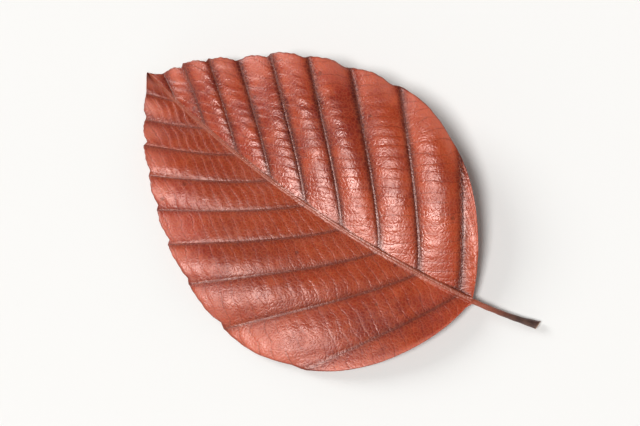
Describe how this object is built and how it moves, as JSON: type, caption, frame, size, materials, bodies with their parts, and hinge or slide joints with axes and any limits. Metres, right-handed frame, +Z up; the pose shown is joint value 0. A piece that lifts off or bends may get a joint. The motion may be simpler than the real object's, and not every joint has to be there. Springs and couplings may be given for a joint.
{
  "type": "beech leaf",
  "caption": "Single preserved copper-red beech leaf with its petiole, toothed margin and pleated side veins, lying upper face up.",
  "frame": {"origin": "centre of the leaf's bounding box in plan, on the surface that the leaf lies on", "axes": "+X along the midrib from the petiole to the tip, +Y towards the leaf's left half, +Z up out of its upper face"},
  "size_m": [0.1, 0.0622, 0.013],
  "materials": {
    "leaf": "satin"
  },
  "bodies": {
    "root": {"beech_leaf": "leaf"}
  },
  "joints": []
}
